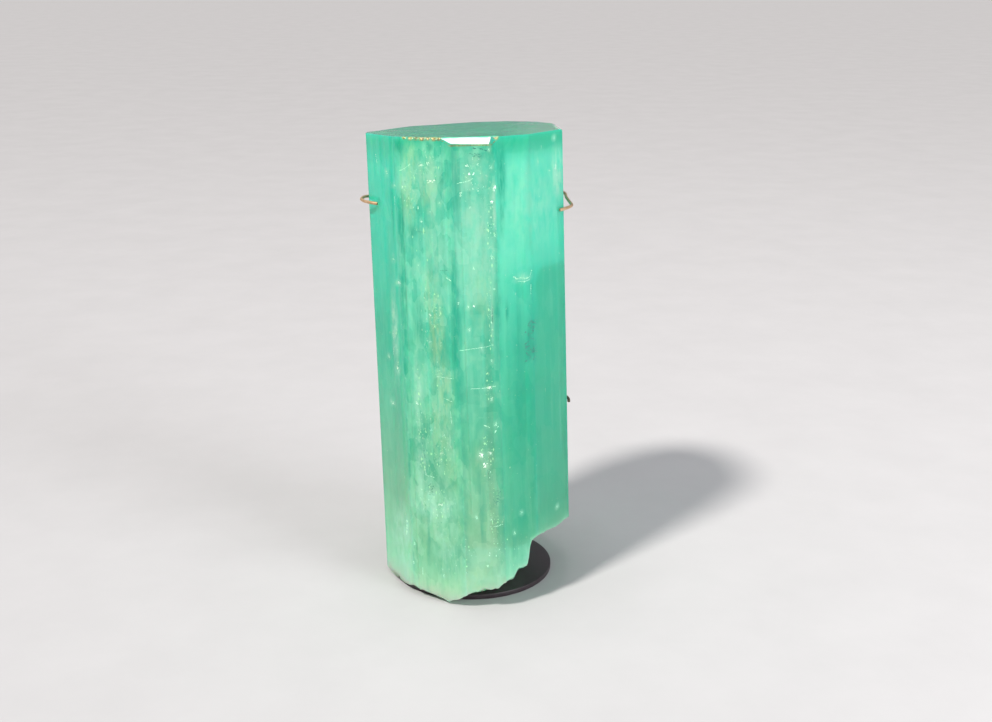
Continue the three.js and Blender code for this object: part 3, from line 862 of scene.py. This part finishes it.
# X and Z of smaller ones.
SMALL_SPECKS = [
    (-17.6, 90.4), (-16, 88.1), (-14.2, 87.9), (-8.5, 83.1), (-6.5, 85), (-2.1, 86.8), (-0.4, 84.1),
    (4, 92.1), (3.7, 95.5), (0.5, 93.9), (1.7, 93.7), (1.4, 92.6), (0.3, 87.8), (1.3, 87.6), (13.6, 92.2),
    (16, 89.9), (17.1, 96.5), (17.7, 88.7), (-16.9, 72.6), (-11.4, 71.9), (0, 71.8), (3.6, 74), (4.4, 78.5),
    (4, 67.5), (-3.4, 64.7), (-1.4, 63.9), (-1.3, 59.2), (-9.7, 56), (-19.2, 50.9), (1, 55.3), (3, 52.6),
    (-13.2, 38.2), (-10.2, 37), (-7.4, 36.2), (2.8, 44.4), (3.5, 39), (-12.9, 23.3), (-9.6, 18),
    (-1.1, 18.7), (-15.1, 10.3), (-15.5, 5.9), (-8.9, 5.9), (-8.7, 4.4), (6.8, 14.7), (3.4, 11.3),
    (1.4, 10.3), (0.8, 7.7), (8.3, 18.8), (16.3, 16.8), (1.9, 18),
]
# Thin pale lines on the front: X and Z places, half width.
PALE_STROKES = [
    ([(-3.4, 54.8), (-0.5, 55.2), (2.2, 55.5), (3.4, 55.9)], 0.1),
    ([(-1.6, 46.7), (1.6, 46.8), (3.8, 47.2)], 0.1),
    ([(8, 69.6), (8.7, 69), (9.4, 69.2), (10.3, 69), (11.2, 69.1)], 0.16),
    ([(8.8, 68.5), (10.2, 68.3), (11.3, 68.7)], 0.11), ([(11.3, 69.2), (11.7, 70.6)], 0.1),
    ([(11.5, 67.6), (11.4, 65.6)], 0.1), ([(-8.5, 48.8), (-5.1, 48.7)], 0.09),
    ([(-7.1, 44.3), (-5.6, 43.8)], 0.12), ([(-5.9, 41.6), (-5.7, 38.9)], 0.09),
    ([(4.4, 17.1), (2.9, 16.5), (1.6, 16.4)], 0.13), ([(-16.6, 15.2), (-16.8, 11.6)], 0.3),
    ([(-20.1, 93.8), (-19.8, 92)], 0.14), ([(-14.8, 91.1), (-13.6, 91.6), (-12.3, 92.6)], 0.13),
    ([(-5.7, 69.8), (-4.8, 69.2)], 0.18), ([(-16.2, 85.8), (-16.2, 83.9)], 0.11),
    ([(-13.4, 5.2), (-13.4, 3.6)], 0.13), ([(-3, 88.9), (-0.6, 89.4), (0.4, 89.9)], 0.12),
    ([(-18, 56.5), (-17.8, 54), (-18.2, 51.5)], 0.14), ([(-11.9, 28.6), (-11.7, 26.6), (-10, 26.5)], 0.14),
    ([(1, 38.8), (2.2, 38.3)], 0.12), ([(3.2, 37), (4, 38.6)], 0.14),
]
DARK_STROKES = [
    ([(-0.1, 94.9), (1, 94.3)], 0.14), ([(0.4, 95.9), (1.8, 95.8), (3.2, 95.4)], 0.26),
    ([(6.4, 64), (6.3, 61.2)], 0.09), ([(-11.2, 79), (-9.8, 78.8)], 0.09),
    ([(-6.9, 71.2), (-5.6, 71.3)], 0.1), ([(1.6, 28.6), (1.5, 25.6)], 0.16),
    ([(3.6, 64), (3.4, 60.4)], 0.11), ([(-12, 32.6), (-11.8, 30.4)], 0.16),
    ([(2.4, 22.6), (3.2, 21.4)], 0.1),
]
# Thickets of short dark strokes: X from, X to, Z from, Z to, strokes, half width.
DARK_SCRIBBLES = [
    (10.2, 12.4, 51.5, 60, 34, 0.19), (3.2, 4.2, 21.6, 25, 9, 0.13), (-11.2, -10, 22.4, 25.4, 9, 0.13),
    (0.4, 2.6, 93.6, 95.8, 6, 0.13),
]
# The crusted rim of the chips along the top front edge; the line under the rim beads is painted shadow as
# well as crust.
CRUST_LINES = [
    [(-12.9, 97.35), (-11, 97.4), (-9, 97.35), (-7.4, 97.3), (-5.9, 97.4)],
    [(-6.3, 97.8), (-4.9, 97), (-3.8, 96.3)], [(-3.8, 96.4), (4, 96.3)], [(4, 96.35), (5.9, 97.75)],
]
CRUST_BEADS = [-13.0, -12.3, -11.5, -10.5, -9.8, -8.9, -8.3, -7.4, -6.7, -6.1]


def crack_glow():
    """Soft pale spots round the bright cracks."""
    large = [(x, z, 1.9 * wide + 0.1, 1.9 * high + 0.1, 1.0) for x, z, wide, high in BRIGHT_SPECKS]
    return large + [(x, z, 0.5, 0.7, 0.8) for x, z in SMALL_SPECKS]


# X, Z, depth, half width, half height, flakes, tilt.
VEILS = [
    (3.4, 82, 0.7, 0.45, 9, 78, 0), (2.9, 62, 0.8, 0.4, 8, 52, 0), (2.2, 31, 0.8, 0.6, 5, 58, 0),
    (2.8, 15, 0.8, 0.5, 6, 46, 0), (-12.3, 88, 0.8, 1.8, 6.5, 78, 0), (-8.6, 92.5, 0.9, 2, 3, 52, 0),
    (-12.5, 40, 0.6, 0.5, 6, 52, 0), (-9.5, 33, 0.7, 2.4, 4, 78, 0), (-9.5, 21, 0.8, 4, 3.6, 143, 0.2),
    (-8.2, 58, 0.7, 1, 9, 72, 0), (0.8, 88, 1, 2.6, 3.5, 46, 0.4), (-4.5, 9, 0.7, 3.5, 5, 52, 0),
    (5, 10, 1.2, 3, 4, 39, 0), (14.5, 84, 1.5, 2, 6, 20, 0), (-17.5, 56, 0.6, 0.6, 7, 39, 0),
]
# Coarser flakes at the front: X, Z, half width, half height, flakes.
COARSE_VEILS = [
    (-12.7, 44, 0.5, 7, 46), (-12.2, 36.5, 0.9, 3, 32), (-9.4, 30.5, 3.2, 3.4, 72),
    (-12.6, 30, 0.8, 3.5, 26), (-6.9, 33, 0.5, 4.5, 26), (-9.6, 21, 3.4, 3.6, 46), (-12.6, 88, 1.2, 5, 46),
    (-8.6, 92, 2.2, 2.6, 32), (0.3, 91.5, 1.8, 2.6, 26), (3.6, 80, 0.7, 8, 39), (3, 62, 0.6, 9, 32),
    (2.2, 46.5, 0.9, 4, 26), (1.6, 33, 1.3, 4, 39), (2.6, 18, 0.8, 7, 39), (-8.3, 62, 1.2, 6, 39),
    (-8.2, 49, 1.3, 5, 32), (-17.2, 54, 0.4, 6, 26), (-9.8, 75, 3, 6, 26), (-5.5, 10, 3, 5, 26),
    (6, 11, 2.5, 4, 26),
]
# X, Z, length, depth, radius.
PALE_TUBES = [
    (-12.7, 46, 12, 0.5, 0.1), (-6.6, 40, 7, 0.5, 0.08), (11.3, 27, 4, 0.6, 0.1), (16, 26.5, 3, 0.5, 0.08),
    (-4, 7.5, 9, 0.5, 0.1), (-8.9, 68, 9, 0.8, 0.08), (12.2, 62, 5, 0.5, 0.06), (17.4, 33, 3, 0.6, 0.07),
    (-18.6, 60, 8, 0.5, 0.07), (5.9, 56, 11, 0.8, 0.06), (-14, 70, 9, 0.9, 0.07),
]
# Filling of the whole crystal: pieces, outer radius, share of the area left free, Z from, Z to.
FILL_TUBES = (220, 17.8, 0.05, 24, 88)
FILL_SPECKS = (420, 18.2, 0.3, 19, 95)


def make_inclusions():
    white = Grains(11)
    for speck in BRIGHT_SPECKS:
        white.crack(*speck)
    white.place("bright_specks", WHITE_INCLUSION)

    pale = Grains(17)
    for x, z in SMALL_SPECKS:
        size = pale.draw(0.13, 0.24)
        pale.crack(x, z, size, size * pale.draw(0.8, 2.2))
    for stroke in PALE_STROKES:
        pale.stroke(*stroke)
    pale.place("pale_wisps", SOFT_INCLUSION)

    veils = Grains(12)
    for x, z, *film in VEILS:
        veils.veil(x, z, *film)
        veils.veil(-x * 0.8, END_Z - z * 0.9, *film, side=1)
    veils.place("healed_veils", SOFT_INCLUSION)

    flakes = Grains(18)
    for x, z, *film in COARSE_VEILS:
        flakes.veil(x, z, 0.1, *film, coarse=2.0)
    flakes.place("coarse_flakes", FLAKE_INCLUSION)

    dark = Grains(14)
    for stroke in DARK_STROKES:
        dark.stroke(*stroke)
    for x_from, x_to, z_from, z_to, count, wide in DARK_SCRIBBLES:
        for _ in range(count):
            x, z = dark.draw(x_from, x_to), dark.draw(z_from, z_to)
            lean = dark.draw(-0.35, 0.35)
            dark.stroke([(x - 0.25, z - lean), (x + 0.25, z + lean)], wide)
    dark.place("dark_needles", DARK_INCLUSION)

    crust = Grains(15)
    for points in CRUST_LINES:
        crust.stroke(points, 0.1)
    crust.place("brown_crust_and_shadow", BROWN_CRUST_AND_SHADOW)
    beads = Grains(16)
    for x in CRUST_BEADS:
        beads.crack(x, 97.72, beads.draw(0.18, 0.3), 0.15)
    beads.place("pale_beads", PALE_CRUST)

    tubes = Grains(13)
    for x, z, length, depth, radius in PALE_TUBES:
        tubes.lens(wall_place(x, z, depth)[0], (radius, radius, length / 2))
    count, *room = FILL_TUBES
    for _ in range(count):
        centre = tubes.inside(*room)
        tubes.lens(centre, (0.05, 0.05, tubes.draw(0.8, 5.0)))
    count, *room = FILL_SPECKS
    for _ in range(count):
        centre = tubes.inside(*room)
        size = tubes.draw(0.04, 0.13)
        tubes.lens(centre, (size, size, size), tubes.any_turn())
    tubes.place("growth_tubes", PALE_INCLUSION)


# ---- holder
WIRE_RADIUS = 0.33
WIRE_TIP = 0.55
DOME_STEPS = (0.0, 0.12, 0.3, 0.6, 1.0)
POST_FOOT = Vector((5.2, 23.6, 1.2))
POST_TOP_Z = 87.0
UPPER_CLAW_Z = 84.4
LOWER_CLAW_Z = 37.8
TONGUE_X = 5.2
TONGUE_HALF_WIDTH = 3.2
TONGUE_END_Y = 26.4
POST_AXIS = Vector((-math.tan(LEAN_LEFT), math.tan(LEAN_BACK), 1))


def at_post(z, dx, dy):
    """A place beside the post at a height."""
    point = POST_FOOT + POST_AXIS * (z - POST_FOOT.z)
    return (point.x + dx, point.y + dy, z)


# Each claw's height and its run from the post: X, Y, and Z where it leaves that height.
CLAWS = {
    "upper_claw_left": (UPPER_CLAW_Z, [
        (1.2, 26.7), (-1, 25.9), (-7, 22.7), (-12.8, 19.5), (-14.6, 18), (-18.2, 12.2), (-21.4, 7),
        (-22.8, 4.2, 84.6), (-23.2, 1.4, 84.6), (-22.4, -0.6, 84.5), (-21.1, -2, 84.5), (-19.4, -3.1),
    ]),
    "upper_claw_right": (UPPER_CLAW_Z, [
        (5.6, 26.7), (8.8, 26.3), (12, 24.4), (15.2, 22.2), (18.4, 16.6), (20.6, 12.2, 84),
        (20.9, 8.5, 83.7), (21.3, 4, 83.6), (21.6, 0.2, 83.6), (21.2, -1.8, 83.6), (20.1, -3.5, 83.5),
        (18.8, -4.9, 83.4),
    ]),
    "lower_claw_left": (LOWER_CLAW_Z, [
        (2.6, 24.1), (0.4, 23.3), (-5.6, 20.1), (-11.4, 16.9), (-13.2, 15.4), (-16.8, 9.6), (-19.1, 4.9),
    ]),
    "lower_claw_right": (LOWER_CLAW_Z, [
        (7, 24.1), (10.1, 23.7), (13.4, 21.8), (16.6, 19.6), (19.6, 14.2, 37.5), (21.6, 10.6, 37.2),
        (22.1, 9.2, 37), (22.1, 7.9, 36.9),
    ]),
}


def smooth_path(points, per_span=8):
    """A rounded line through the points."""
    points = [Vector(p) for p in points]
    padded = [2 * points[0] - points[1]] + points + [2 * points[-1] - points[-2]]
    path = []
    for before, start, end, after in zip(padded, padded[1:], padded[2:], padded[3:]):
        for step in range(per_span):
            t = step / per_span
            path.append(0.5 * (2 * start + (end - before) * t
                               + (2 * before - 5 * start + 4 * end - after) * t * t
                               + (3 * start - before - 3 * end + after) * t ** 3))
    return path + [points[-1]]


def tube(path, radii, sides=16):
    """Vertices and faces of a closed tube along a path, with a radius at each of its points."""
    rings = []
    side = None
    for index, (point, radius) in enumerate(zip(path, radii)):
        ahead = path[min(index + 1, len(path) - 1)] - path[max(index - 1, 0)]
        ahead.normalize()
        side = ahead.orthogonal() if side is None else side - ahead * side.dot(ahead)
        side.normalize()
        other = ahead.cross(side)
        angles = [2 * math.pi * turn / sides for turn in range(sides)]
        rings.append([tuple(point + (side * math.cos(a) + other * math.sin(a)) * radius) for a in angles])
    return through_rings(rings)


def rounded_ends(path, radius):
    """The points and radii of a wire along the path, its ends closed by small domes."""
    travel = np.cumsum([0.0] + [(end - start).length for start, end in zip(path, path[1:])])
    tip = WIRE_TIP * radius
    radii = [radius * math.sqrt(max(0.02, 1 - (1 - step) ** 2)) for step in DOME_STEPS]

    def dome(end, inner, span):
        return list(zip([end.lerp(inner, 0.9 * tip * step / span) for step in DOME_STEPS], radii))

    first = dome(path[0], path[1], travel[1] - travel[0])
    last = dome(path[-1], path[-2], travel[-1] - travel[-2])
    middle = [(point, radius * (1 + 0.03 * noise.noise(point * 0.7)))
              for point, place in zip(path, travel) if tip < place < travel[-1] - tip]
    return zip(*first, *middle, *reversed(last))


def join(one, other):
    """Two shapes' vertices and faces as one."""
    start = len(one[0])
    return one[0] + other[0], one[1] + [tuple(start + i for i in face) for face in other[1]]


def solder(z, side):
    """A small bead of solder where a wire meets the post."""
    start = Vector(at_post(z, side * 0.35, -1.2))
    end = Vector(at_post(z, side * 1.25, -1.05))
    path = [start.lerp(end, t) for t in (0, 0.08, 0.25, 0.5, 0.75, 0.92, 1)]
    return tube(path, [0.05, 0.28, 0.42, 0.46, 0.4, 0.26, 0.05], 14)


def make_claws():
    for name, (level, run) in CLAWS.items():
        side = -1 if name.endswith("left") else 1
        points = [at_post(level, side * 0.1, -1.35)] + [(*place, level)[:3] for place in run]
        path, radii = rounded_ends(smooth_path(points), WIRE_RADIUS)
        vertices, faces = join(tube(path, radii), solder(level, side))
        # The lower claws take the darker brass copy: painted shade.
        finish = SHADED_BRASS if name.startswith("lower") else BRASS
        claw = new_object(name + "_wire", vertices, faces, finish, 50)
        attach(claw, "root")
        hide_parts(name)


def make_post():
    length = (POST_TOP_Z - POST_FOOT.z) / POST_AXIS.normalized().z
    along = POST_AXIS.normalized()
    shaft = list(np.linspace(2, length - 0.4, 60))
    heights = [0, 0.12, 0.3, 0.6, 1.1] + shaft + [length - 0.2, length - 0.06, length]
    radii = [1.55, 1.42, 1.25, 1.08, 1.0] + [1.0] * len(shaft) + [0.93, 0.8, 0.55]
    path = [POST_FOOT + along * height for height in heights]
    post = new_object("back_post_rod", *tube(path, radii, 40), BRASS, 40)
    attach(post, "root")
    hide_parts("back_post")


def plate_outline(inset):
    """The plate's edge drawn in by an inset: a disc with a tongue behind."""
    radius = PLATE_RADIUS - inset
    half = TONGUE_HALF_WIDTH - inset
    end = TONGUE_END_Y - inset
    corner = 0.8
    points = []
    right, left = TONGUE_X + half, TONGUE_X - half
    start = math.atan2(math.sqrt(radius ** 2 - left ** 2), left)
    stop = math.atan2(math.sqrt(radius ** 2 - right ** 2), right) + 2 * math.pi
    for turn in np.linspace(start, stop, 180):
        points.append((radius * math.cos(turn), radius * math.sin(turn)))
    for centre_x, first in ((right - corner, 0), (left + corner, 90)):
        for degrees in range(first, first + 91, 15):
            angle = math.radians(degrees)
            points.append((centre_x + corner * math.cos(angle), end - corner + corner * math.sin(angle)))
    return points


def make_plate():
    levels = [(0.2, 0.0), (0.06, 0.05), (0.0, 0.2), (0.0, 1.0), (0.05, 1.13), (0.2, PLATE_TOP)]
    rings = [[(x, y, z) for x, y in plate_outline(inset)] for inset, z in levels]
    plate = new_object("painted_plate", *through_rings(rings), BLACK_PAINT, 40)
    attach(plate, "root")
    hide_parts("base_plate")


make_crystal()
make_inclusions()
make_claws()
make_post()
make_plate()


# ---- studio
CAMERA_PLACE = Vector((5.5, -290.0, 137.0))
CAMERA_PITCH = math.radians(16.9)


def studio_floor():
    size = 6000
    corners = [(-size, -size, 0), (size, -size, 0), (size, size, 0), (-size, size, 0)]
    finish = plain_material("studio_floor", (172, 170, 171), (168, 166, 167), 40, 0.7)
    floor = new_object("studio_floor", corners, [(0, 1, 2, 3)], finish)


def light(name, kind, strength, direction, colour=(1, 1, 1)):
    """A lamp that shines against a direction."""
    data = bpy.data.lights.new(name, kind)
    data.energy = strength
    data.color = colour
    lamp = add_object(name, data)
    lamp.rotation_euler = direction.to_track_quat("Z", "Y").to_euler()
    return lamp


def soft_lamp(name, place, target, size, watts, colour=(1, 1, 1)):
    """A round lamp of a size at a place, turned to a target."""
    lamp = light(name, "AREA", watts, Vector(place) - Vector(target), colour)
    lamp.location = Vector(place) * MM
    lamp.data.shape = "DISK"
    lamp.data.size = size * MM


def studio_world():
    """A soft dome, dim at the horizon and brighter overhead."""
    world = bpy.data.worlds.new("studio")
    nodes = Nodes(world)
    where = nodes.add("TexCoord").outputs["Generated"]
    up = nodes.add("SeparateXYZ", Vector=where).outputs["Z"]
    dome = nodes.ramp(up, [(0, (0.17, 0.17, 0.18, 1)), (1, (0.6, 0.61, 0.64, 1))])
    sky = nodes.add("Background", Color=dome)
    nodes.add("OutputWorld", Surface=sky.outputs[0])
    bpy.context.scene.world = world


def camera():
    data = bpy.data.cameras.new("camera")
    data.lens = 50
    data.sensor_width = 36
    data.clip_start = 0.01
    data.clip_end = 100
    cam = add_object("camera", data)
    cam.location = CAMERA_PLACE * MM
    cam.rotation_euler = (math.radians(90) - CAMERA_PITCH, 0, 0)
    bpy.context.scene.camera = cam


studio_floor()
studio_world()
sun = light("sun", "SUN", 4.3, Vector((-0.43, -0.42, 0.79)), colour=(1.0, 0.97, 0.92))
sun.data.angle = math.radians(7)
soft_lamp("fill", place=(560, -420, 300), target=(0, 0, 50), size=420, watts=5.0, colour=(0.93, 0.97, 1.0))
soft_lamp("top", place=(-20, 84, 698), target=(5, -16, 98), size=230, watts=1.0)
camera()
bpy.context.scene.view_settings.view_transform = "Standard"
bpy.context.scene.view_settings.look = "None"
